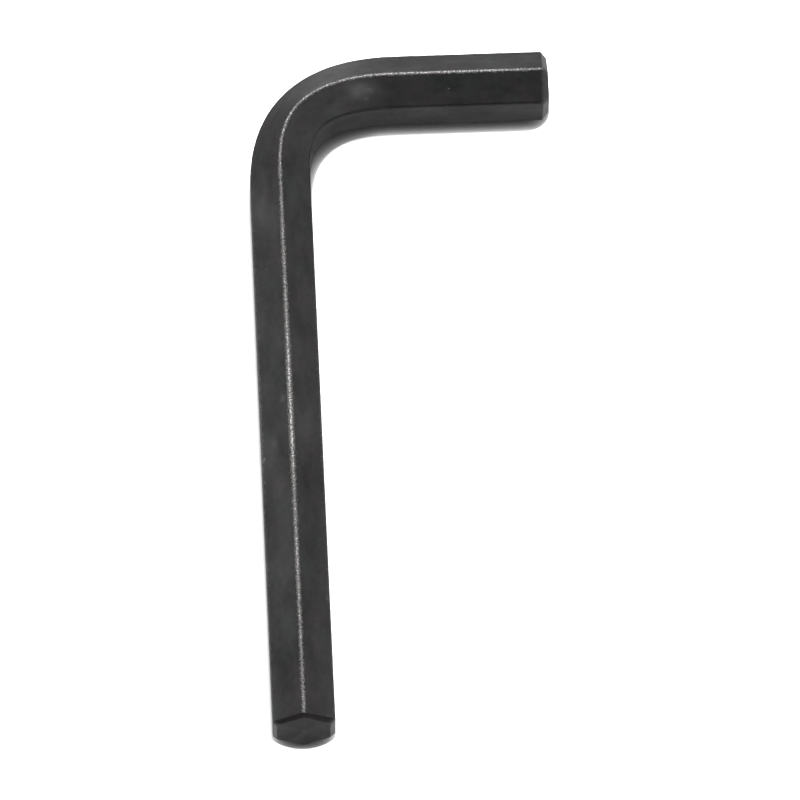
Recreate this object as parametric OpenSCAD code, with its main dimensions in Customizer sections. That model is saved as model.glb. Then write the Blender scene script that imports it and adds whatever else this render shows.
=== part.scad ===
// Hex key: one bar of six-sided steel, bent once to a right angle and chamfered
// at both tips. One long edge of the bar faces up and the opposite one faces
// down, so the key lies on that lower edge along both of its arms.

/* [Bar] */
// Width of the bar from one flat to the flat opposite
across_flats = 10; // [8:0.5:12]
// Rounding along the six long edges
edge_radius = 0.6; // [0.2:0.05:0.8]

/* [Arms] */
// Long arm, from its tip to the outside flat of the short arm
long_arm = 122; // [90:1:200]
// Short arm, from its tip to the outside flat of the long arm
short_arm = 50; // [40:1:80]
// Chamfer round the tip of the long arm
long_tip_chamfer = 0.7; // [0.3:0.1:1.5]
// Chamfer round the tip of the short arm
short_tip_chamfer = 1; // [0.3:0.1:1.5]

/* [Bend] */
// Radius of the bar's middle line, taken half way round the bend
bend_radius = 14.7; // [12:0.1:17]
// Distance from the crossing of the middle lines to where each arm is straight
bend_run = 20.5; // [18:0.5:24]
// How far the outside flat is drawn in half way round, where it was stretched
outside_draw = 0.83; // [0:0.01:1.2]
// How far the inside flat is drawn in half way round
inside_draw = 0.08; // [0:0.01:0.4]
// How much squarer the inside turns next to the long arm, which was clamped
clamp_lean = 0.2; // [0:0.05:0.3]

/* [Hidden] */
// Sections along the bend, and points round each of the six edges
bend_steps = 32;
edge_steps = 4;
right_angle = 90;
// One sixth of a turn, from one flat to the next
flat_turn = 60;
chamfer_angle = 45;
half_flats = across_flats / 2;
// Middle of an edge's rounding, and the height of the rounded edge itself
edge_centre = (half_flats - edge_radius) / cos(flat_turn / 2);
half_height = edge_centre + edge_radius;
// Middle of the key's outline in plan, which stands over the origin
middle_x = short_arm / 2 - half_flats;
middle_y = half_flats - long_arm / 2;
// Lengths of the straight arms, from the bend to the tip
long_straight = long_arm - half_flats - bend_run;
short_straight = short_arm - half_flats - bend_run;
// A block that takes off one chamfer is wider than the bar
cutter = 2 * across_flats;
key_colour = [0.17, 0.17, 0.175];

// Points round the bar's section. The first number is the distance towards the
// outside of the bend, and the second is the height.
section = [
  for (edge = [0:5])
    for (i = [0:edge_steps])
      let (
        middle = flat_turn * edge + flat_turn / 2,
        turn = flat_turn * edge + flat_turn * i / edge_steps
      )
      [
        edge_centre * cos(middle) + edge_radius * cos(turn),
        edge_centre * sin(middle) + edge_radius * sin(turn)
      ]
];

// Distance from the bending post, which stands level with both ends of the
// bend, to a straight line of the bar that lies u towards the outside.
function reach(u) = bend_run + u;

// How much the drawn-in metal adds to the rounding of a line at u.
function draw_in(u) =
  let (t = u / half_flats)
  outside_draw * t * (t + 1) / 2 - inside_draw * t * (t - 1) / 2;

// Distance from the sharp corner that a line at u would have to the line itself
// half way round the bend.
function corner_fall(u) =
  (sqrt(2) - 1) * (bend_radius + u) + draw_in(u);

// Power of the rounded corner of a line at u. Two is a plain arc, and more
// keeps most of the turn near the middle of the bend.
function middle_power(u) =
  -ln(2) / ln(1 - corner_fall(u) / (sqrt(2) * reach(u)));

// The same power with the lean towards the clamped arm, at an angle a round
// the bending post. It is strongest at the inside flat.
function corner_power(u, a) =
  middle_power(u) * (1 + clamp_lean * (0.5 - u / across_flats) * cos(2 * a));

// Place in the bend of a section point, at an angle a from the long arm.
function bend_point(point, a) =
  let (
    power = corner_power(point.x, a),
    sum = pow(cos(a), power) + pow(sin(a), power),
    distance = reach(point.x) * pow(sum, -1 / power)
  )
  [
    bend_run - distance * cos(a),
    distance * sin(a) - bend_run,
    point.y
  ];

// The bend: the section swept round the bending post from arm to arm.
module bend() {
  count = len(section);
  points = [
    for (step = [0:bend_steps])
      for (point = section)
        bend_point(point, right_angle * step / bend_steps)
  ];
  sides = [
    for (step = [0:bend_steps - 1])
      for (i = [0:count - 1])
        let (
          next = (i + 1) % count,
          here = step * count,
          there = here + count
        )
        each [
          [here + i, there + i, there + next],
          [here + i, there + next, here + next]
        ]
  ];
  first_end = [for (i = [0:count - 1]) i];
  last_end = [for (i = [count - 1:-1:0]) bend_steps * count + i];
  polyhedron(points, concat([first_end, last_end], sides));
}

// A straight arm along +Z with its six chamfers at the far end.
module arm(length, chamfer) {
  difference() {
    linear_extrude(length)
      polygon(section);
    for (flat = [0:5])
      rotate([0, 0, flat_turn * flat])
        translate([half_flats - chamfer, 0, length])
          rotate([0, chamfer_angle, 0])
            translate([-cutter / 2, -cutter / 2, 0])
              cube(cutter);
  }
}

// The whole key, with both arms standing against the ends of the bend.
module hex_key() {
  color(key_colour)
    translate([-middle_x, -middle_y, half_height])
      union() {
        bend();
        translate([0, -bend_run, 0])
          rotate([right_angle, 0, 0])
            arm(long_straight, long_tip_chamfer);
        translate([bend_run, 0, 0])
          rotate([right_angle, 0, right_angle])
            arm(short_straight, short_tip_chamfer);
      }
}

hex_key();
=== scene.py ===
# %% [markdown]
# # A blackened hex key on a white table
#
# The object is one steel bar with six flat sides. A machine has cut it to
# length, chamfered both tips, bent it once to a right angle and blackened it in
# a hot bath. This lesson sweeps the bar's section along that path, wears its
# edges, gives it a black oxide finish and lights it like a product photograph.
#
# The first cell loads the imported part, which is the frame for everything that
# follows. Its box is kept, because the dressed part has to stay the same size.

import math

import bpy
import numpy as np
from mathutils import Matrix, Vector


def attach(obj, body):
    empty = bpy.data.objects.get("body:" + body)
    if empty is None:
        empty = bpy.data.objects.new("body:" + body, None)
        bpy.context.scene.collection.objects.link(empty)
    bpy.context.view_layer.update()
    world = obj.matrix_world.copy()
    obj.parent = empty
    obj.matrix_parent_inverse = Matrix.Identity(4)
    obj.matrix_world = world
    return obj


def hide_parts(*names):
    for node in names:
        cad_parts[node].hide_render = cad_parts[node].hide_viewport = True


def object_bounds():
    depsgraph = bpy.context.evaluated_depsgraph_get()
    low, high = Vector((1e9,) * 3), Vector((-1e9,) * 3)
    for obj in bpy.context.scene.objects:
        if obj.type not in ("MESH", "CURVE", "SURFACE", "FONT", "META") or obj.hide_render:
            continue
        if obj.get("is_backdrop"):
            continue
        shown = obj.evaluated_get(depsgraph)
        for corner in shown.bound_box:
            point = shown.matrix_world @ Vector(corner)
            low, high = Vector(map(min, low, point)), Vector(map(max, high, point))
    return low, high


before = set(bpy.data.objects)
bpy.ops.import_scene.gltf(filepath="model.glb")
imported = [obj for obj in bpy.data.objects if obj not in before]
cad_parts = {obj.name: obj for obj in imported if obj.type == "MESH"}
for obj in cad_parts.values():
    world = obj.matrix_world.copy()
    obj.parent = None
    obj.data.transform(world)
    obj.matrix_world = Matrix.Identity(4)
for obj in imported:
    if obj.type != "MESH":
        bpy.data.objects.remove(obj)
cad_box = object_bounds()
print("the packed part reaches from", list(cad_box[0]), "to", list(cad_box[1]))

# %% [markdown]
# ## The sizes of the bar
#
# A hex key is a standard part, so a few sizes say everything. The lengths of
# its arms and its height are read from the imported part. The others are the
# sizes that the part's source gives the bar, its bend and its chamfers.
# Working in millimetres keeps the numbers readable, and one factor turns them
# into Blender's metres at the end.

# %% Sizes in millimetres
MM = 0.001
low, high = (np.array(corner) / MM for corner in cad_box)
short_arm, long_arm, bar_height = high - low
half_flats = 5.0
across_flats = 2 * half_flats
edge_radius = 0.6
bend_radius = 14.7
bend_run = 20.5
outside_draw = 0.83
inside_draw = 0.08
clamp_lean = 0.2
tip_chamfers = {"long": 0.7, "short": 1.0}
# The middle lines of the two arms cross here
crossing = np.array([low[0] + half_flats, high[1] - half_flats, bar_height / 2])
print(f"arms {long_arm:.1f} and {short_arm:.1f} mm, bar {bar_height:.2f} mm high")

# %% [markdown]
# ## The section of the bar
#
# The section is a hexagon whose corners are rounded. It could be a polygon with
# a bevel, but a rounded hexagon is also easy to write as a distance from its
# middle at each angle. That form has two gains: every ring of the bar has the
# same number of points, and a chamfer is just the smaller of two distances.
#
# The angles are not spread evenly. A long edge is where the light catches, so
# its narrow rounding gets as many points as the wide flat beside it.


# %% A rounded hexagon
sixth = math.pi / 3


def angle_from_flat(angle):
    """How far these angles are from the middle of the nearest flat."""
    return np.abs((angle + sixth / 2) % sixth - sixth / 2)


def hexagon_distance(angle, half_width, corner_radius):
    """Distance from the middle to a hexagon with rounded corners, at these angles."""
    from_flat = angle_from_flat(angle)
    from_corner = sixth / 2 - from_flat
    centre = (half_width - corner_radius) / math.cos(sixth / 2)
    side = centre * np.sin(from_corner)
    inside = np.maximum(corner_radius**2 - side**2, 0)
    on_corner = centre * np.cos(from_corner) + np.sqrt(inside)
    on_flat = half_width / np.cos(from_flat)
    return np.where(side < corner_radius * math.sin(sixth / 2), on_corner, on_flat)


flat_end = math.atan(math.tan(sixth / 2) * (1 - edge_radius / half_flats))
# Places of the points from the middle of a flat to its end, closer near the end
flat_shares = np.array([0, 0.2, 0.38, 0.54, 0.68, 0.79, 0.875, 0.935, 0.975])
flat_angles = np.arctan(flat_shares * math.tan(flat_end))
corner_points = 10
corner_angles = np.linspace(flat_end, sixth - flat_end, corner_points)
sixth_angles = np.concatenate([flat_angles, corner_angles, sixth - flat_angles[:0:-1]])
angles = np.concatenate([sixth_angles + k * math.pi / 3 for k in range(6)])
ring_size = len(angles)
print("points round the bar:", ring_size)

# %% [markdown]
# ## The bend
#
# When a bar is bent cold, its inside is squeezed, its outside is stretched and
# drawn in, and the turn is sharpest in the middle. The long arm is clamped
# while the short one is pulled round, so the inside stays straight for longer
# on the clamped side. A plain quarter ring would show none of this.
#
# Each line of the bar therefore gets its own rounded corner, written as a
# distance from the bending post. A power of two would be an arc, and a higher
# power keeps the turn to the middle.


# %% The path of each line of the bar
def corner_power(u, turn):
    """Power of the rounded corner of a line that lies u towards the outside."""
    t = u / half_flats
    drawn = outside_draw * t * (t + 1) / 2 - inside_draw * t * (t - 1) / 2
    fall = (math.sqrt(2) - 1) * (bend_radius + u) + drawn
    middle = -math.log(2) / np.log(1 - fall / (math.sqrt(2) * (bend_run + u)))
    return middle * (1 + clamp_lean * (0.5 - u / across_flats) * np.cos(2 * turn))


def bend_points(u, v, turn):
    """Places in the bend of section points (u, v) at a turn from the long arm."""
    power = corner_power(u, turn)
    total = math.cos(turn) ** power + max(math.sin(turn), 0) ** power
    distance = (bend_run + u) * total ** (-1 / power)
    x = bend_run - distance * math.cos(turn)
    y = distance * math.sin(turn) - bend_run
    return np.stack([x, y, v], axis=1)


long_straight = long_arm - half_flats - bend_run
short_straight = short_arm - half_flats - bend_run
print(f"straight lengths: {long_straight:.1f} and {short_straight:.1f} mm")

# %% [markdown]
# ## The tips
#
# Both ends are cut square and chamfered, so that the key finds its way into a
# screw. The chamfer follows the six flats, and the tool has softened its edges.
# A profile of inset against distance from the tip describes it: a small arc
# leads from the flat into the chamfer, and another from the chamfer to the end
# face, which then closes in towards its middle.
#
# The chamfering tool never sat quite in the middle of the bar, so both chamfers
# are a little wider on the inside of the bend, and the short tip is sawn
# slightly out of square. Only two numbers and an angle are needed for this: the
# inset and the distance of each point are changed a little by its place round
# the ring. It looks like nothing, but a perfect tip looks like a drawing.

# %% Profile of a chamfered tip
chamfer_angle = math.pi / 4
# Radius of the small arcs on both sides of each chamfer
tool_softening = {"long": 0.25, "short": 0.35}
# The corners of the end face are a little rounder at the top than at the bottom
end_corner_radii = 1.1 + 0.3 * np.sin(angles)
# For each tip: share by which the chamfer grows, the side it grows towards in
# degrees, and how far out of square the end is cut
tip_faults = {"long": (0.12, 195, 0.0), "short": (0.12, 200, 0.016)}
# Behind the chamfer these faults fade out: where that starts, and how soon
fade_start, fade_length = 0.3, 2.5
# How far from the middle the rings that close the end face are
face_rings = np.array([0.6, 1.6, 2.6, 3.4, 3.9])


def tip_profile(part):
    """Rows of inset and distance from the tip, from the end face's middle out."""
    chamfer, soft = tip_chamfers[part], tool_softening[part]
    lead = soft * math.tan(chamfer_angle / 2)
    turn = np.linspace(0, chamfer_angle, 5)
    near = soft * (1 - np.cos(turn))
    far = chamfer + lead - soft * np.sin(turn)
    face = half_flats - face_rings
    face = face[face > chamfer + 2 * lead]
    on_face = np.stack([face, np.zeros(len(face))], axis=1)
    inner_arc = np.stack([far, near], axis=1)
    outer_arc = np.stack([near, far], axis=1)[::-1]
    return np.concatenate([on_face, inner_arc, outer_arc])


def tip_ring(part, t, inset):
    """Distances round a ring near a tip, and how far from the tip each point is."""
    chamfer = tip_chamfers[part]
    grows, towards, out_of_square = tip_faults[part]
    extra = grows * np.cos(angles - math.radians(towards))
    towards_middle = min(1, (half_flats - inset) / (half_flats - chamfer))
    insets = inset + extra * min(inset, chamfer) * towards_middle
    rounding = edge_radius + (end_corner_radii - edge_radius) * min(inset / chamfer, 1)
    body = hexagon_distance(angles, half_flats, edge_radius)
    cut = hexagon_distance(angles, half_flats - insets, rounding)
    distance = np.minimum(body, cut)
    fading = np.clip(1 - (t - chamfer - fade_start) / fade_length, 0, 1)
    square = out_of_square * (distance * np.cos(angles) + half_flats)
    return distance, t + fading * (extra * min(t, chamfer) + square)


# %% [markdown]
# ## Stations along the bar
#
# The bar is a row of rings. Each ring knows which part it is in, how far along
# the bar it lies and how much the chamfer has taken off. Rings stand closer
# than half a millimetre, so that small knocks and the uneven wear of an edge
# can be real shape and not only paint.

# %% Rows of rings from tip to tip
ring_step = 0.42
bend_steps = 96


def spread(start, end, step):
    """Evenly spaced places from start to end, without the start itself."""
    return np.linspace(start, end, max(2, round(abs(end - start) / step)) + 1)[1:]


long_profile = tip_profile("long")
short_profile = tip_profile("short")
turns = np.linspace(0, math.pi / 2, bend_steps + 1)
middle_line = np.concatenate(
    [bend_points(np.zeros(1), np.zeros(1), turn) for turn in turns]
)
steps_along = np.linalg.norm(np.diff(middle_line, axis=0), axis=1)
bend_length = steps_along.sum()
bar_length = long_straight + bend_length + short_straight

stations = [("long", t, inset) for inset, t in long_profile]
long_places = spread(long_profile[-1][1], long_straight, ring_step)
stations += [("long", t, 0.0) for t in long_places]
stations += [("bend", turn, 0.0) for turn in turns[1:]]
short_places = spread(short_straight, short_profile[-1][1], ring_step)
stations += [("short", t, 0.0) for t in short_places]
stations += [("short", t, inset) for inset, t in short_profile[-2::-1]]
bend_along = long_straight + np.concatenate([[0], np.cumsum(steps_along)])
print(f"{len(stations)} rings; the bar was {bar_length:.1f} mm long before it was bent")

# %% [markdown]
# ## Knocks, a crease and unevenness
#
# A key that has lived in a drawer is not perfect. Its edges are a little
# uneven, and a few small knocks sit where the photograph shows bright specks.
# Inside the bend, where the steel was squeezed, both edges of the inner flat
# have folded into a fine crease. All of it is pushed into the rings here, before
# the bar is laid along its path, so each mark follows the surface wherever it
# lies. A bump map could fake the knocks, but not the outline where an edge is
# uneven.

# %% Relief of the surface
# The edges are uneven by this much, within this much of their full height, in
# two waves. Each wave: how quickly it turns along the bar, and its folds round it
edge_unevenness, edge_zone = 0.015, 0.12
waves = [(1.7, 5), (4.3, -9)]
crease_depth, crease_width = 0.05, math.radians(1.3)
# Where the edges of the inner flat are, in degrees round the bar
crease_angles = (150, 210)
# The crease starts after this share of the bend and deepens over this length
crease_share, crease_fade = 0.58, 3
crease_start, crease_end = bend_along[int(bend_steps * crease_share)], bend_along[-1]
# Each knock: distance along the bar, angle round it in degrees, size and depth
knocks = [
    (96.0, 51, 0.35, 0.05),
    (81.8, 55, 0.4, 0.05),
    (47.2, 34, 0.3, 0.07),
    (22.0, 145, 0.5, 0.04),
    (74.2, 131, 0.7, 0.02),
    (138.8, 121, 0.35, 0.07),
    (139.8, 129, 0.3, 0.05),
    (154.5, 149, 0.3, 0.06),
]


def around(angle):
    """Angles round the bar, measured from this one in degrees."""
    return (angles - math.radians(angle) + math.pi) % (2 * math.pi) - math.pi


def near_knock(along, knock):
    """How near each point of a ring is to a knock, from nothing to one."""
    place, angle, size, _ = knock
    gap = np.hypot(along - place, around(angle) * half_flats)
    return np.exp(-((gap / size) ** 2))


def relief(along, distance):
    """Millimetres that the surface stands proud at one ring."""
    near_edge = np.clip(1 - (bar_height / 2 - distance) / edge_zone, 0, 1)
    wave = sum(np.sin(along * speed + folds * angles) for speed, folds in waves)
    rise = edge_unevenness * 0.5 * near_edge * (wave - 2)
    for knock in knocks:
        rise -= knock[3] * near_knock(along, knock)
    from_ends = min(along - crease_start, crease_end - along)
    inside = np.clip(from_ends / crease_fade, 0, 1)
    for angle in crease_angles:
        rise -= crease_depth * inside * np.exp(-((around(angle) / crease_width) ** 2))
    return rise


# %% [markdown]
# ## Where the steel is rubbed
#
# The top and bottom edges of the lying key rub on everything, so they are worn
# almost bare. The four edges beside them only show it here and there, and
# hardly at all in the bend and on the short arm. Along the bar the rubbing isn't
# even either: the hand and the other keys in the roll polish the middle of the
# long arm in a wide, broken band, while the bend keeps a narrow, unbroken line.
#
# This cell turns that into one number for each point, which the material later
# breaks up into grains. The number is largest on the edge itself and falls to
# nothing over a fraction of a millimetre. A curvature mask from the renderer
# would find the edges too, but it would treat all six alike.

# %% How bare each point is
# One share for each long edge, in turn round the bar. The second is on top.
edge_shares = [0.52, 1.0, 0.36, 0.36, 1.0, 0.52]
# Places along the bar, from the long tip. At each of them: how much the edges
# are rubbed, how wide the rubbed band is, and how much the four edges at the
# sides are rubbed compared with their share
rub_places = [0, 7, 17, 28, 39, 50, 61, 72, 82, 95, 106, 120, 131, 145, 155]
rub_amounts = [
    *(0.88, 0.86, 0.92, 1.06, 0.94, 1.22, 1.22, 1.02),
    *(0.94, 0.9, 1.06, 1.14, 1.24, 1.26, 1.05),
]
rub_widths = [
    *(0.74, 0.74, 0.72, 0.74, 0.82, 0.9, 0.9, 0.85),
    *(0.8, 0.72, 0.58, 0.6, 0.6, 0.6, 0.56),
]
side_rubbing = [1.0] * 9 + [0.8] + [0.4] * 5
# Chamfers are rubbed less than the edges beside them, from this share of their
# inset on
chamfer_share, chamfer_begins = 0.3, 0.1
# A faint line shows where a chamfer starts: how bare it is, how far it lies
# behind the chamfer, and half its width
start_bareness, start_place, start_width = 0.15, 0.1, 0.08
flat_length = half_flats * math.tan(sixth / 2)
gap_to_edge = flat_length - half_flats * np.tan(angle_from_flat(angles))
share_of_edge = np.array(edge_shares)[(angles // sixth).astype(int)]
# How much barer a knock is for each millimetre of its depth
knock_shine = 6


def bareness(along, part, t, inset):
    """From nothing to about one: how much each point of a ring is rubbed."""
    amount = np.interp(along, rub_places, rub_amounts)
    width = np.interp(along, rub_places, rub_widths)
    sides = np.interp(along, rub_places, side_rubbing)
    share = np.where(share_of_edge < 1, sides * share_of_edge, 1)
    bare = amount * share * np.clip(1 - gap_to_edge / width, 0, 1)
    if part != "bend":
        chamfer = tip_chamfers[part]
        if inset > chamfer * chamfer_begins:
            bare = bare * chamfer_share
        if abs(t - chamfer - start_place) < start_width:
            bare = np.maximum(bare, start_bareness)
    for knock in knocks:
        bare = bare + knock_shine * knock[3] * near_knock(along, knock)
    return bare


print("the edges are rubbed from", min(rub_amounts), "to", max(rub_amounts))

# %% [markdown]
# ## Patches in the oxide
#
# A blackening bath leaves pale blooms where the steel wasn't quite clean, and
# the oil that follows it never covers everything. The largest bloom sits on top
# of the bend, with a few small flecks in it. Each patch is a soft oval in the
# bar's own directions, along and round, and they add up to one number for each
# point. Positive numbers will be paler, and negative ones will only be dry of
# oil, as both end faces are.

# %% Pale and dry patches
# The end faces are dry, as far out as this distance from their chamfers
end_face_dryness, face_margin = -1.4, 0.1
# Each patch: distance along, angle, half length, half width and strength
patches = [
    (8.0, 58, 9.0, 3.0, -0.35),
    (145.5, 120, 5.5, 2.0, -0.40),
    (38.0, 122, 3.0, 2.0, -0.20),
    (123.6, 110, 2.6, 1.3, 0.72),
    (122.4, 122, 1.3, 0.7, 0.25),
    (125.3, 117, 1.0, 0.4, 0.30),
    (125.1, 113, 0.35, 0.2, 0.40),
    (124.0, 131, 0.4, 0.25, 0.35),
    (120.4, 123, 0.4, 0.3, 0.25),
    (49.6, 56, 0.9, 0.45, 0.45),
    (57.4, 76, 0.7, 0.5, 0.45),
    (94.0, 52, 4.0, 1.2, 0.22),
    (46.0, 48, 3.5, 1.4, 0.22),
    (53.0, 122, 4.0, 1.5, 0.20),
    (142.0, 112, 1.2, 0.5, 0.18),
    (144.8, 133, 0.7, 0.25, 0.35),
    (146.9, 107, 0.35, 0.6, 0.30),
    (148.0, 126, 1.1, 0.6, -0.30),
]


def paleness(along, part, inset):
    """How pale the oxide is at each point of a ring, and less on a dry end face."""
    on_face = part != "bend" and inset > tip_chamfers[part] + face_margin
    pale = np.full(ring_size, end_face_dryness if on_face else 0.0)
    for place, angle, half_length, half_width, strength in patches:
        across = around(angle) * half_flats
        gap = np.hypot((along - place) / half_length, across / half_width)
        pale += strength * np.exp(-(gap**2))
    return pale


print(len(patches), "patches")

# %% [markdown]
# ## Building the mesh
#
# The rings could be joined with Blender's own curve and bevel tools, but a
# bevelled curve cannot change its section on the way. Writing the points
# directly keeps full control, and the faces between two rings are simple
# quads. Each point also takes its place in the straight bar with it, along and
# across, so that grain and clouds run round the bend without a seam.

# %% Lay the rings along the path
places, bar_place, bare_steel, pale_oxide = [], [], [], []

for part, t, inset in stations:
    if part == "bend":
        distance, t_round = hexagon_distance(angles, half_flats, edge_radius), t
        along = np.interp(t, turns, bend_along)
    else:
        distance, t_round = tip_ring(part, t, inset)
        along = t if part == "long" else bar_length - t
    distance = distance + relief(along, distance)
    u, v = distance * np.cos(angles), distance * np.sin(angles)
    if part == "long":
        ring = np.stack([-u, half_flats - long_arm + t_round, v], axis=1)
    elif part == "bend":
        ring = bend_points(u, v, t)
    else:
        ring = np.stack([short_arm - half_flats - t_round, u, v], axis=1)
    places.append((crossing + ring) * MM)
    bar_place.append(np.stack([np.full(ring_size, along), u, v], axis=1))
    bare_steel.append(bareness(along, part, t, inset))
    pale_oxide.append(paleness(along, part, inset))
print(f"{len(places) * ring_size} points laid along the path")

# %% [markdown]
# The two end faces close with a fan of triangles round a middle point. The
# faces of the chamfers and ends are marked as cut steel, and the rest is drawn
# steel, because the two surfaces were made in different ways and don't shine
# alike.


# %% Join the rings into one closed skin
def ring_faces(ring_count):
    """Quads between each ring and the next, turned outwards."""
    ring, i = np.meshgrid(np.arange(ring_count - 1), np.arange(ring_size), indexing="ij")
    here, there = ring * ring_size, (ring + 1) * ring_size
    following = (i + 1) % ring_size
    quads = np.stack([here + i, here + following, there + following, there + i], axis=-1)
    return quads.reshape(-1, 4)


ring_count = len(stations)
first_middle = ring_count * ring_size
last_middle = first_middle + 1
first_place = np.mean(places[0], axis=0)
last_place = np.mean(places[-1], axis=0)
points = np.concatenate(places + [[first_place, last_place]])
quads = ring_faces(ring_count)
last_start = (ring_count - 1) * ring_size
fans = []
for i in range(ring_size):
    following = (i + 1) % ring_size
    fans.append((first_middle, following, i))
    fans.append((last_middle, last_start + i, last_start + following))

skin = bpy.data.meshes.new("hex_key_skin")
skin.from_pydata(points.tolist(), [], quads.tolist() + fans)
skin.validate()
skin.shade_smooth()
hex_key = bpy.data.objects.new("blackened_hex_key", skin)
bpy.context.scene.collection.objects.link(hex_key)
triangles = 2 * len(quads) + len(fans)
print(f"{len(points)} points, {triangles} triangles")

# %% [markdown]
# ## Numbers for the materials
#
# The mesh carries what was worked out for each point: its place in the straight
# bar, how bare it is and how pale. An attribute is as good as a painted map
# here, and it needs no picture. The bar is also unwrapped, along and round, so
# that a painter could still put a map on it. The last column of faces ends at
# one and not at nothing, or it would show the whole map backwards.


# %% Numbers that the materials read
def write_numbers(mesh, name, kind, values):
    """Stores one value for each point of the mesh."""
    layer = mesh.attributes.new(name, kind, "POINT")
    field = "vector" if kind == "FLOAT_VECTOR" else "value"
    layer.data.foreach_set(field, np.asarray(values, np.float32).ravel())


end_rows = [[0, 0, 0], [bar_length, 0, 0]]
write_numbers(skin, "bar_place", "FLOAT_VECTOR", np.concatenate(bar_place + [end_rows]))
write_numbers(skin, "bare_steel", "FLOAT", np.concatenate(bare_steel + [[0, 0]]))
write_numbers(skin, "pale_oxide", "FLOAT", np.concatenate(pale_oxide + [[0, 0]]))

# The chamfers and ends are cut, and so is what the tool touched beside them
cut_reach = 0.5
cut_rings = {
    index
    for index, (part, t, inset) in enumerate(stations)
    if part != "bend" and (inset > 0.01 or t < cut_reach)
}
face_ring = np.arange(len(quads)) // ring_size
cut = np.isin(face_ring, list(cut_rings)) & np.isin(face_ring + 1, list(cut_rings))
face_slots = np.concatenate([cut.astype(np.int32), np.ones(len(fans), np.int32)])

wrap = skin.uv_layers.new(name="bar_wrap")
corner_point = np.zeros(len(skin.loops), np.int32)
skin.loops.foreach_get("vertex_index", corner_point)
turn_share = np.concatenate([np.tile(angles, ring_count), [0, 0]]) / (2 * math.pi)
length_share = np.concatenate(bar_place + [end_rows])[:, 0] / bar_length
across_wrap, along_wrap = turn_share[corner_point], length_share[corner_point]
last_column = np.repeat(np.arange(len(quads)) % ring_size == ring_size - 1, 4)
quad_corners = across_wrap[: 4 * len(quads)]
quad_corners[last_column & (quad_corners < 0.5)] = 1.0
wrap_places = np.stack([along_wrap, across_wrap], axis=1)
wrap.data.foreach_set("uv", wrap_places.astype(np.float32).ravel())
print(f"{int(face_slots.sum())} faces are cut steel, the others are drawn steel")

# %% [markdown]
# ## Node groups for what both surfaces share
#
# The drawn flats and the cut ends are blackened in the same bath and rubbed by
# the same hands, so three effects come back in both: worn edges, the cloudy
# tone of the oxide, and a fine grain. Each is a node group with named inputs,
# built once and placed in each material with its own values.


# %% Helpers for node trees
def new_group(name, inputs, outputs):
    """An empty shader node group with these named sockets."""
    group = bpy.data.node_groups.new(name, "ShaderNodeTree")
    for label, kind, value in inputs:
        socket = group.interface.new_socket(label, in_out="INPUT", socket_type=kind)
        if value is not None:
            socket.default_value = value
    for label, kind in outputs:
        group.interface.new_socket(label, in_out="OUTPUT", socket_type=kind)
    return group


def add(tree, kind, **settings):
    """A node with these settings. A setting that names an input fills it."""
    node = tree.nodes.new(kind)
    for key, value in settings.items():
        if hasattr(node, key):
            setattr(node, key, value)
        else:
            node.inputs[key.replace("_", " ")].default_value = value
    return node


def math_step(tree, operation, *values, clamp=False):
    """A Math node whose inputs are numbers or the outputs of other nodes."""
    node = tree.nodes.new("ShaderNodeMath")
    node.operation, node.use_clamp = operation, clamp
    for socket, value in zip(node.inputs, values):
        if isinstance(value, (int, float)):
            socket.default_value = value
        else:
            tree.links.new(value, socket)
    return node.outputs[0]


FLOAT, VECTOR = "NodeSocketFloat", "NodeSocketVector"

# %% [markdown]
# ### Worn edges
#
# Oxide is a skin only a few thousandths of a millimetre thick. Where the key
# rubs on other tools it goes first from the high spots of the rough edge, in
# grains and not in a clean line. The group adds fine noise to the number that
# says how rubbed a point is, and what rises above a threshold is worn. A second,
# finer noise picks the few grains that are polished bright, and also gives a
# height, because those grains are the ones that stand up.

# %% Group: edges worn in grains
wear_sharpness = 5.0
glint_threshold, glint_sharpness = 1.07, 12.0
# The noise of the glints is this much finer, and they stand up by this much
glint_fineness, glint_height = 1.2, 0.5
wear = new_group(
    "edges worn in grains",
    [
        ("Bareness", FLOAT, 0.0),
        ("Place", VECTOR, None),
        ("Grain", FLOAT, 4.0),
        ("Raggedness", FLOAT, 1.0),
        ("Threshold", FLOAT, 0.5),
        ("Glints", FLOAT, 0.5),
    ],
    [("Wear", FLOAT), ("Glint", FLOAT), ("Height", FLOAT)],
)
take = add(wear, "NodeGroupInput")
give = add(wear, "NodeGroupOutput")
ragged = add(wear, "ShaderNodeTexNoise", Detail=2.0, Roughness=0.5)
wear.links.new(take.outputs["Place"], ragged.inputs["Vector"])
wear.links.new(take.outputs["Grain"], ragged.inputs["Scale"])
rubbed = math_step(wear, "SUBTRACT", ragged.outputs[0], 0.5)
rubbed = math_step(wear, "MULTIPLY", rubbed, take.outputs["Raggedness"])
rubbed = math_step(wear, "ADD", take.outputs["Bareness"], rubbed)
rubbed = math_step(wear, "SUBTRACT", rubbed, take.outputs["Threshold"])
rubbed = math_step(wear, "MULTIPLY", rubbed, wear_sharpness)
rubbed = math_step(wear, "ADD", rubbed, 0.5, clamp=True)
wear.links.new(rubbed, give.inputs["Wear"])
finer = math_step(wear, "MULTIPLY", take.outputs["Grain"], glint_fineness)
grains = add(wear, "ShaderNodeTexNoise", Detail=0.0)
wear.links.new(take.outputs["Place"], grains.inputs["Vector"])
wear.links.new(finer, grains.inputs["Scale"])
likely = math_step(wear, "MULTIPLY", take.outputs["Bareness"], take.outputs["Glints"])
glint = math_step(wear, "ADD", grains.outputs[0], likely)
glint = math_step(wear, "SUBTRACT", glint, glint_threshold)
glint = math_step(wear, "MULTIPLY", glint, glint_sharpness, clamp=True)
wear.links.new(glint, give.inputs["Glint"])
raised = math_step(wear, "MULTIPLY", glint, glint_height)
raised = math_step(wear, "ADD", grains.outputs[0], raised)
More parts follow.
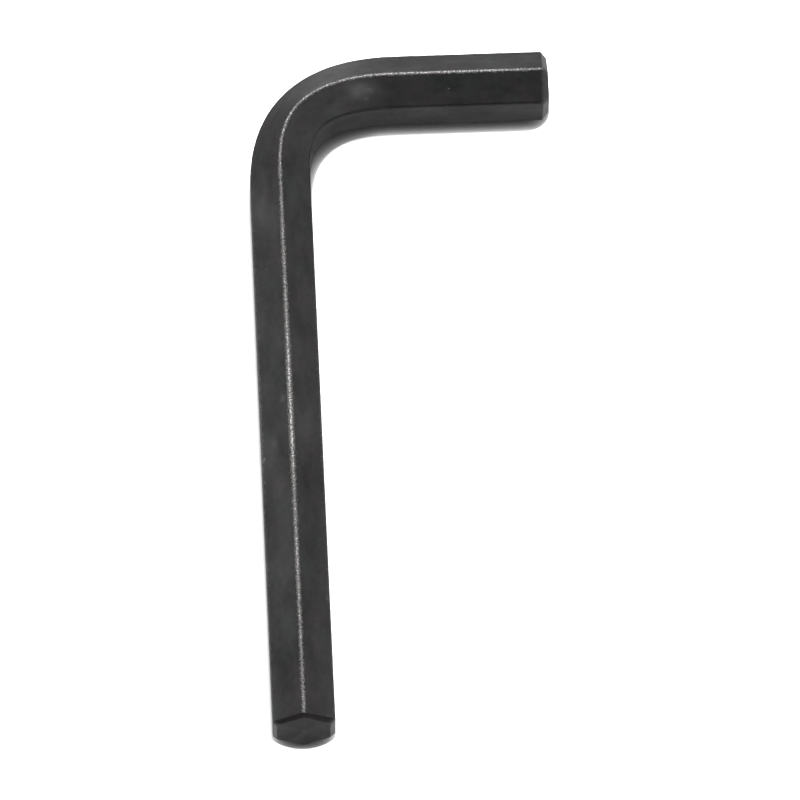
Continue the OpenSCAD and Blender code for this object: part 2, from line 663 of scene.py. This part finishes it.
raised = math_step(wear, "MULTIPLY", raised, rubbed)
wear.links.new(raised, give.inputs["Height"])

# %% [markdown]
# ### Cloudy oxide
#
# The bath never blackens evenly. Soft clouds a few millimetres wide lie over
# the steel, and small pale specks mark where the skin is thin. Two noises of
# different size give the clouds. The broad one is drawn out along the bar, as
# the steel itself was. A third, slower noise says where the oxide leans to
# brown and where to green. A cell pattern with only some of its middles kept
# gives the specks, so nothing visibly repeats.

# %% Group: clouds in the oxide
# The broad clouds are this many times longer than wide, and this is the share
# of the fine ones in the tone
cloud_length, fine_share = 2.0, 0.25
mottle_scale, stain_scale, stain_contrast = 1.1, 0.3, 4.0
speck_scale, share_of_specks = 0.3, 0.28
clouds = new_group(
    "oxide clouds",
    [
        ("Place", VECTOR, None),
        ("Cloud Size", FLOAT, 5.0),
        ("Cloud Depth", FLOAT, 0.3),
        ("Speck Size", FLOAT, 0.12),
    ],
    [("Tone", FLOAT), ("Tint", FLOAT), ("Specks", FLOAT)],
)
take = add(clouds, "NodeGroupInput")
give = add(clouds, "NodeGroupOutput")
scale = math_step(clouds, "DIVIDE", 1.0, take.outputs["Cloud Size"])
drawn_out = add(clouds, "ShaderNodeVectorMath", operation="MULTIPLY")
drawn_out.inputs[1].default_value = (1 / cloud_length, 1, 1)
clouds.links.new(take.outputs["Place"], drawn_out.inputs[0])
broad = add(clouds, "ShaderNodeTexNoise", Detail=3.0, Roughness=0.6)
clouds.links.new(drawn_out.outputs[0], broad.inputs["Vector"])
clouds.links.new(scale, broad.inputs["Scale"])
mottle = add(clouds, "ShaderNodeTexNoise", Scale=mottle_scale, Detail=2.0)
clouds.links.new(take.outputs["Place"], mottle.inputs["Vector"])
tone = math_step(clouds, "MULTIPLY", mottle.outputs[0], fine_share)
tone = math_step(clouds, "ADD", broad.outputs[0], tone)
tone = math_step(clouds, "SUBTRACT", tone, 0.5 + fine_share / 2)
tone = math_step(clouds, "MULTIPLY", tone, take.outputs["Cloud Depth"])
tone = math_step(clouds, "ADD", tone, 1.0)
clouds.links.new(tone, give.inputs["Tone"])
stains = add(clouds, "ShaderNodeTexNoise", Scale=stain_scale, Detail=2.0)
clouds.links.new(take.outputs["Place"], stains.inputs["Vector"])
tint = math_step(clouds, "SUBTRACT", stains.outputs[0], 0.5)
tint = math_step(clouds, "MULTIPLY", tint, stain_contrast)
tint = math_step(clouds, "ADD", tint, 0.5, clamp=True)
clouds.links.new(tint, give.inputs["Tint"])
cells = add(clouds, "ShaderNodeTexVoronoi", Scale=speck_scale)
clouds.links.new(take.outputs["Place"], cells.inputs["Vector"])
cell_kind = add(clouds, "ShaderNodeSeparateXYZ")
clouds.links.new(cells.outputs["Color"], cell_kind.inputs[0])
chosen = math_step(clouds, "GREATER_THAN", cell_kind.outputs[0], 1 - share_of_specks)
middle = math_step(clouds, "DIVIDE", cells.outputs["Distance"], take.outputs["Speck Size"])
middle = math_step(clouds, "SUBTRACT", 1.0, middle, clamp=True)
specks = math_step(clouds, "MULTIPLY", middle, chosen)
clouds.links.new(specks, give.inputs["Specks"])

# %% [markdown]
# ### Fine grain
#
# Under a lens the surface is not smooth. Drawing the bar through its die leaves
# faint lines that run along it, and cutting leaves none. One group makes both:
# it squeezes the noise along the bar by a stretch factor, and a factor of one
# gives an even grain.

# %% Group: grain with a direction
grain = new_group(
    "grain of the steel",
    [("Place", VECTOR, None), ("Fineness", FLOAT, 6.0), ("Stretch", FLOAT, 10.0)],
    [("Height", FLOAT)],
)
take = add(grain, "NodeGroupInput")
give = add(grain, "NodeGroupOutput")
parts = add(grain, "ShaderNodeSeparateXYZ")
joined = add(grain, "ShaderNodeCombineXYZ")
grain.links.new(take.outputs["Place"], parts.inputs[0])
squeezed = math_step(grain, "DIVIDE", parts.outputs[0], take.outputs["Stretch"])
grain.links.new(squeezed, joined.inputs[0])
grain.links.new(parts.outputs[1], joined.inputs[1])
grain.links.new(parts.outputs[2], joined.inputs[2])
lines = add(grain, "ShaderNodeTexNoise", Detail=3.0, Roughness=0.65)
grain.links.new(joined.outputs[0], lines.inputs["Vector"])
grain.links.new(take.outputs["Fineness"], lines.inputs["Scale"])
grain.links.new(lines.outputs[0], give.inputs["Height"])
print("node groups:", [group.name for group in (wear, clouds, grain)])

# %% [markdown]
# ## The blackened steel
#
# Black oxide is dark, slightly shiny and hardly coloured. It reflects like
# glass or enamel rather than like bare metal, so the skin is a plain dark
# surface with a satin roughness, and the steel under it is metallic. After the
# bath the key is oiled, and the film that stays is thicker in some clouds than
# in others: a thin coat, whose weight follows the clouds, gives the flats their
# soft mottling. The wear mask blends from oxide to bare steel in colour, metal
# and coat at once.
#
# Five tones describe a surface: oxide that leans to brown, oxide that leans to
# green, its pale bloom, dull bare steel, and the bright grains in it. The drawn
# flats and the cut chamfers and ends use the same recipe with other values.


# %% Build a blackened steel material
def blackened_steel(name, tones, satin, worn, cloudy, lines_of, oil):
    """Black oxide over steel, with clouds, grain, oil and edges worn bare."""
    material = bpy.data.materials.new(name)
    material.use_nodes = True
    tree = material.node_tree
    tree.nodes.clear()
    surface = add(tree, "ShaderNodeOutputMaterial")
    steel = add(
        tree, "ShaderNodeBsdfPrincipled", IOR=oxide_ior, Coat_Roughness=oil_roughness
    )
    tree.links.new(steel.outputs[0], surface.inputs[0])
    place = add(tree, "ShaderNodeAttribute", attribute_name="bar_place").outputs["Vector"]
    bare = add(tree, "ShaderNodeAttribute", attribute_name="bare_steel").outputs["Fac"]
    pale = add(tree, "ShaderNodeAttribute", attribute_name="pale_oxide").outputs["Fac"]

    def placed(group, values):
        node = add(tree, "ShaderNodeGroup", node_tree=group)
        for label, value in values.items():
            node.inputs[label].default_value = value
        tree.links.new(place, node.inputs["Place"])
        return node

    rubbed = placed(wear, worn)
    tree.links.new(bare, rubbed.inputs["Bareness"])
    mottled = placed(clouds, cloudy)
    lined = placed(grain, lines_of)
    wear_mask, tone = rubbed.outputs["Wear"], mottled.outputs["Tone"]

    brown, green, bloom, dull, bright = tones
    stained = add(tree, "ShaderNodeMix", data_type="RGBA")
    tree.links.new(mottled.outputs["Tint"], stained.inputs["Factor"])
    stained.inputs["A"].default_value = (*brown, 1)
    stained.inputs["B"].default_value = (*green, 1)
    skin_colour = add(tree, "ShaderNodeMix", data_type="RGBA", blend_type="MULTIPLY")
    skin_colour.inputs["Factor"].default_value = 1.0
    tree.links.new(stained.outputs["Result"], skin_colour.inputs["A"])
    tree.links.new(tone, skin_colour.inputs["B"])
    paler = math_step(tree, "MULTIPLY", tone, pale)
    paler = math_step(tree, "MAXIMUM", paler, mottled.outputs["Specks"], clamp=True)
    bloomed = add(tree, "ShaderNodeMix", data_type="RGBA")
    tree.links.new(paler, bloomed.inputs["Factor"])
    tree.links.new(skin_colour.outputs["Result"], bloomed.inputs["A"])
    bloomed.inputs["B"].default_value = (*bloom, 1)
    bared = add(tree, "ShaderNodeMix", data_type="RGBA")
    tree.links.new(rubbed.outputs["Glint"], bared.inputs["Factor"])
    bared.inputs["A"].default_value = (*dull, 1)
    bared.inputs["B"].default_value = (*bright, 1)
    colour = add(tree, "ShaderNodeMix", data_type="RGBA")
    tree.links.new(wear_mask, colour.inputs["Factor"])
    tree.links.new(bloomed.outputs["Result"], colour.inputs["A"])
    tree.links.new(bared.outputs["Result"], colour.inputs["B"])
    tree.links.new(colour.outputs["Result"], steel.inputs["Base Color"])
    tree.links.new(wear_mask, steel.inputs["Metallic"])

    held = math_step(tree, "MULTIPLY", pale, oil_held)
    film = math_step(tree, "SUBTRACT", tone, 1 - oil)
    film = math_step(tree, "ADD", film, held, clamp=True)
    covered = math_step(tree, "SUBTRACT", 1.0, wear_mask)
    film = math_step(tree, "MULTIPLY", film, covered)
    tree.links.new(film, steel.inputs["Coat Weight"])
    rough = math_step(tree, "MULTIPLY", lined.outputs["Height"], line_roughness)
    rough = math_step(tree, "ADD", rough, satin - line_roughness / 2)
    scuffed = math_step(tree, "MULTIPLY", wear_mask, worn_roughness)
    rough = math_step(tree, "ADD", rough, scuffed)
    tree.links.new(rough, steel.inputs["Roughness"])

    height = math_step(tree, "MULTIPLY", lined.outputs["Height"], line_depth)
    pits = math_step(tree, "MULTIPLY", rubbed.outputs["Height"], grain_depth)
    height = math_step(tree, "ADD", height, pits)
    bump = add(tree, "ShaderNodeBump", Strength=1.0, Distance=MM)
    tree.links.new(height, bump.inputs["Height"])
    tree.links.new(bump.outputs[0], steel.inputs["Normal"])
    return material


# How much more oil a pale patch holds, and a dry one lacks
oil_held = 0.5
oxide_ior, oil_roughness = 1.38, 0.32
# How much rougher the drawn lines and the worn steel are
line_roughness, worn_roughness = 0.16, 0.10
# Depth of the drawn lines and of the worn grains, in millimetres
line_depth, grain_depth = 0.010, 0.05
drawn_steel = blackened_steel(
    "blackened_drawn_steel",
    tones=(
        (0.0135, 0.0096, 0.0098),
        (0.0085, 0.0106, 0.0104),
        (0.090, 0.087, 0.086),
        (0.195, 0.191, 0.189),
        (0.76, 0.75, 0.735),
    ),
    satin=0.38,
    worn={"Grain": 4.0, "Raggedness": 1.7, "Threshold": 0.49, "Glints": 0.54},
    cloudy={"Cloud Size": 4.0, "Cloud Depth": 1.15, "Speck Size": 0.05},
    lines_of={"Fineness": 4.0, "Stretch": 10.0},
    oil=0.4,
)
cut_steel = blackened_steel(
    "blackened_cut_steel",
    tones=(
        (0.0115, 0.0088, 0.0090),
        (0.0078, 0.0092, 0.0090),
        (0.045, 0.044, 0.044),
        (0.16, 0.157, 0.155),
        (0.60, 0.59, 0.58),
    ),
    satin=0.34,
    worn={"Grain": 4.5, "Raggedness": 1.0, "Threshold": 0.5, "Glints": 0.47},
    cloudy={"Cloud Size": 2.5, "Cloud Depth": 0.7, "Speck Size": 0.04},
    lines_of={"Fineness": 5.0, "Stretch": 1.0},
    oil=0.8,
)
skin.materials.append(drawn_steel)
skin.materials.append(cut_steel)
skin.polygons.foreach_set("material_index", face_slots)

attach(hex_key, "root")
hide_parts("hex_key")
print("materials:", [m.name for m in skin.materials])

# %% [markdown]
# ## The table
#
# The key lies on a plain white surface, which isn't part of the object. In a
# catalogue picture the background is cut away until it is pure white, and only
# a narrow shadow is kept where the steel almost touches the table. Here that
# shadow is painted shade in the table's colour. The steel still reflects the
# table, painted shadow and all, as a soft grey.
#
# An Ambient Occlusion node gives the narrow painted shadow, which darkens the
# table's colour on top of the shadow that the screens cast. It measures how open
# each place is within a few millimetres, and a power makes it fall off quickly.
# In the hollow of the bend, where steel stands on two sides, it reaches further.
# The Light Path node gives the exposure: rays that come straight from the
# camera see a brighter white than the steel does.

# %% White table
# Half the side of the table, in metres, so that its edge never shows
table_half = 3.0
table_mesh = bpy.data.meshes.new("table_top")
corners = [(-1, -1), (1, -1), (1, 1), (-1, 1)]
table_mesh.from_pydata(
    [(x * table_half, y * table_half, cad_box[0][2]) for x, y in corners],
    [],
    [(0, 1, 2, 3)],
)
table = bpy.data.objects.new("white_table", table_mesh)
bpy.context.scene.collection.objects.link(table)
white = bpy.data.materials.new("white_table_top")
white.use_nodes = True
paper = white.node_tree
paper.nodes.clear()
paper_out = add(paper, "ShaderNodeOutputMaterial")
paint = add(paper, "ShaderNodeBsdfDiffuse")
paper.links.new(paint.outputs[0], paper_out.inputs[0])

# %% Narrow painted shadow beside the steel
in_millimetres = add(paper, "ShaderNodeVectorMath", operation="SCALE", Scale=1 / MM)
paper.links.new(
    add(paper, "ShaderNodeTexCoord").outputs["Object"], in_millimetres.inputs[0]
)
table_place = in_millimetres.outputs[0]


def distance_on_table(middle_x, middle_y):
    """Millimetres from this place on the table."""
    node = add(paper, "ShaderNodeVectorMath", operation="DISTANCE")
    node.inputs[1].default_value = (middle_x, middle_y, low[2])
    paper.links.new(table_place, node.inputs[0])
    return node.outputs["Value"]


# Painted shadow in the table's colour: how far it reaches in millimetres, the power that
# makes it fall off, and its darkest share
shadow_reach, shadow_power, darkest_shadow = 2.75, 4.6, 0.06
# Inside the bend: how far its hollow lies from both middle lines, how wide it
# is, and how much further the shadow reaches there
hollow_inset, hollow_width, hollow_extra = 8.5, 9.0, 0.8
from_hollow = distance_on_table(crossing[0] + hollow_inset, crossing[1] - hollow_inset)
in_hollow = math_step(paper, "DIVIDE", from_hollow, hollow_width)
in_hollow = math_step(paper, "SUBTRACT", 1.0, in_hollow, clamp=True)
reach = math_step(paper, "MULTIPLY", in_hollow, hollow_extra * MM)
reach = math_step(paper, "ADD", reach, shadow_reach * MM)
nearby = add(paper, "ShaderNodeAmbientOcclusion", samples=16)
paper.links.new(reach, nearby.inputs["Distance"])
# Painted shade: the table's colour is darkened where steel closes it in
painted_shadow = math_step(paper, "POWER", nearby.outputs["AO"], shadow_power)
painted_shadow = math_step(paper, "MULTIPLY", painted_shadow, 1 - darkest_shadow)
painted_shadow = math_step(paper, "ADD", painted_shadow, darkest_shadow)

# %% [markdown]
# ### The edge of the cut-out
#
# The background was cut away along a smooth line beside the key, and the painted
# shadow ends there. Inside the bend the line is a rounded corner about the
# bending post, as the bar's own lines are, but rounder. At both tips it is part
# of a circle. A place beyond the line is pure white.

# %% Trim the shadow
table_axes = add(paper, "ShaderNodeSeparateXYZ")
paper.links.new(table_place, table_axes.inputs[0])
table_x, table_y = table_axes.outputs["X"], table_axes.outputs["Y"]

# How far the line lies from the post beside both arms, the power of its corner,
# and how soft it is
border_reach, border_power, border_fade = bend_run - half_flats - 0.05, 2.95, 0.25
before_post = math_step(paper, "SUBTRACT", crossing[0] + bend_run, table_x)
behind_post = math_step(paper, "SUBTRACT", table_y, crossing[1] - bend_run)
powers = [
    math_step(paper, "POWER", math_step(paper, "MAXIMUM", side, 0.0), border_power)
    for side in (before_post, behind_post)
]
from_post = math_step(paper, "ADD", *powers)
from_post = math_step(paper, "POWER", from_post, 1 / border_power)
beyond = math_step(paper, "SUBTRACT", border_reach, from_post)
beyond = math_step(paper, "DIVIDE", beyond, border_fade, clamp=True)
painted_shadow = math_step(paper, "MAXIMUM", painted_shadow, beyond)

# Each circle: its middle, its radius, and the side of a straight line where it
# counts, which is the tip's
tip_circles = [
    (crossing[0], low[1] + 7.9, 8.1, "LESS_THAN", table_y, low[1] + 2.0),
    (high[0] - 3.3, crossing[1] - 1.5, 3.45, "GREATER_THAN", table_x, high[0] - 3.0),
]
for middle_x, middle_y, radius, side_of, axis, start in tip_circles:
    from_middle = distance_on_table(middle_x, middle_y)
    beyond = math_step(paper, "SUBTRACT", from_middle, radius)
    beyond = math_step(paper, "DIVIDE", beyond, border_fade, clamp=True)
    at_tip = math_step(paper, side_of, axis, start)
    beyond = math_step(paper, "MULTIPLY", beyond, at_tip)
    painted_shadow = math_step(paper, "MAXIMUM", painted_shadow, beyond)
print("the shadow is trimmed along the bar and at", len(tip_circles), "tips")

# %% Exposure of the table
seen_by_steel, seen_by_camera = 0.9, 4.0
seen = add(paper, "ShaderNodeLightPath").outputs["Is Camera Ray"]
exposure = math_step(paper, "MULTIPLY", seen, seen_by_camera - seen_by_steel)
exposure = math_step(paper, "ADD", exposure, seen_by_steel)
exposed = math_step(paper, "MULTIPLY", painted_shadow, exposure)
paper.links.new(exposed, paint.inputs["Color"])
table_mesh.materials.append(white)
table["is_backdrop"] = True
print("table at height", round(cad_box[0][2], 6))

# %% [markdown]
# ## Soft studio light
#
# Dark satin steel shows its surroundings more than its own colour, so the room
# is half of the material. Each flat of the bar mirrors one direction of the
# room, and the bend sweeps through all the directions between. That is how the
# room was worked out: the key was lit by one screen at a time, and the screens
# were then mixed until every flat had its grey.
#
# The back wall has a narrow bright gap, which lights the outside of the bend.
# Walls and screens on both sides light the long arm, a window high on the right
# makes the soft light inside the bend, and a wide lamp hangs over the table.
# The camera's side is dark, which is why the chamfer of the long tip is
# nearly black. Only a low strip stands there, which keeps the inner edge of the
# short arm from going black too. Each screen is a round glow, brightest in one
# direction, and the world adds them up.

# %% Screens of light
# Each screen: its direction, how tight the glow is and how bright its middle is
screens = {
    "gap in the back wall": ((-0.17, 0.98, 0.08), 80, 3.6),
    "back wall": ((-0.36, 0.92, 0.14), 50, 0.95),
    "left wall": ((-0.80, 0.40, 0.45), 8, 1.42),
    "screen on the left": ((-0.62, -0.35, 0.70), 12, 0.87),
    "right wall": ((0.80, 0.42, 0.43), 12, 0.67),
    "screen on the right": ((0.88, 0.00, 0.47), 10, 1.16),
    "window on the right": ((0.42, -0.40, 0.81), 20, 2.0),
    "lamp over the table": ((0.03, 0.48, 0.88), 12, 3.4),
    "low strip in front": ((0.03, -1.00, 0.04), 60, 1.0),
}
# What is left between the screens
darkness = 0.02
world = bpy.data.worlds.new("studio")
world.use_nodes = True
bpy.context.scene.world = world
room = world.node_tree
room.nodes.clear()
sky_out = add(room, "ShaderNodeOutputWorld")
sky = add(room, "ShaderNodeBackground")
room.links.new(sky.outputs[0], sky_out.inputs[0])
direction = add(room, "ShaderNodeTexCoord").outputs["Generated"]
total = darkness
for towards, tightness, brightness in screens.values():
    facing = add(room, "ShaderNodeVectorMath", operation="DOT_PRODUCT")
    room.links.new(direction, facing.inputs[0])
    facing.inputs[1].default_value = Vector(towards).normalized()
    fall = math_step(room, "SUBTRACT", facing.outputs["Value"], 1.0)
    fall = math_step(room, "MULTIPLY", fall, tightness)
    glow = math_step(room, "MULTIPLY", math_step(room, "EXPONENT", fall), brightness)
    total = math_step(room, "ADD", glow, total)
room.links.new(total, sky.inputs["Strength"])
print("screens:", ", ".join(screens))

# %% [markdown]
# ## The camera
#
# The photograph was taken from well above the table with a long lens. The
# angles and the distance come from matching the bar's edges and tips to their
# pixels. A long lens far away keeps both ends of the key almost the same size.

# %% Camera at the photograph's angle
picture_size = 800
# Pixels that the width across flats covers at the aim
pixels_per_width = 61.665
camera_distance = 137.0 * across_flats
# How high the camera looks from, how far to the side it stands, and its tilt
elevation = math.radians(61.931)
sideways = math.radians(-3.907)
tilt = math.radians(1.501)
# The middle of the picture, seen from where the middle lines cross
aim = crossing + np.array([17.895, -57.959, 0.0])

back = Vector(
    (
        math.sin(sideways) * math.cos(elevation),
        -math.cos(sideways) * math.cos(elevation),
        math.sin(elevation),
    )
)
right = Vector((math.cos(sideways), math.sin(sideways), 0))
up = back.cross(right)
tilted_right = right * math.cos(tilt) + up * math.sin(tilt)
tilted_up = up * math.cos(tilt) - right * math.sin(tilt)

camera_data = bpy.data.cameras.new("camera")
camera_data.sensor_width = 36.0
focal_pixels = pixels_per_width * camera_distance / across_flats
camera_data.lens = camera_data.sensor_width * focal_pixels / picture_size
camera_data.clip_start = 0.05
camera_data.clip_end = 20
camera = bpy.data.objects.new("camera", camera_data)
spot = Vector(aim * MM) + back * camera_distance * MM
axes = Matrix((tilted_right, tilted_up, back)).transposed()
camera.matrix_world = Matrix.Translation(spot) @ axes.to_4x4()
bpy.context.scene.collection.objects.link(camera)
bpy.context.scene.camera = camera
bpy.context.scene.view_settings.view_transform = "Standard"
print(f"lens {camera_data.lens:.0f} mm at {camera_distance:.0f} mm from the aim")

# %% [markdown]
# ## Check the size and finish
#
# The dressed part must not be larger than the imported one. How much larger
# its box is along each axis is printed.

# %% Print how much the box has grown
dressed_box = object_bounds()
growth = [
    (dressed_box[1][i] - dressed_box[0][i] - cad_box[1][i] + cad_box[0][i]) / MM
    for i in range(3)
]
print("the dressed part is larger by", [round(g, 3) for g in growth], "mm")
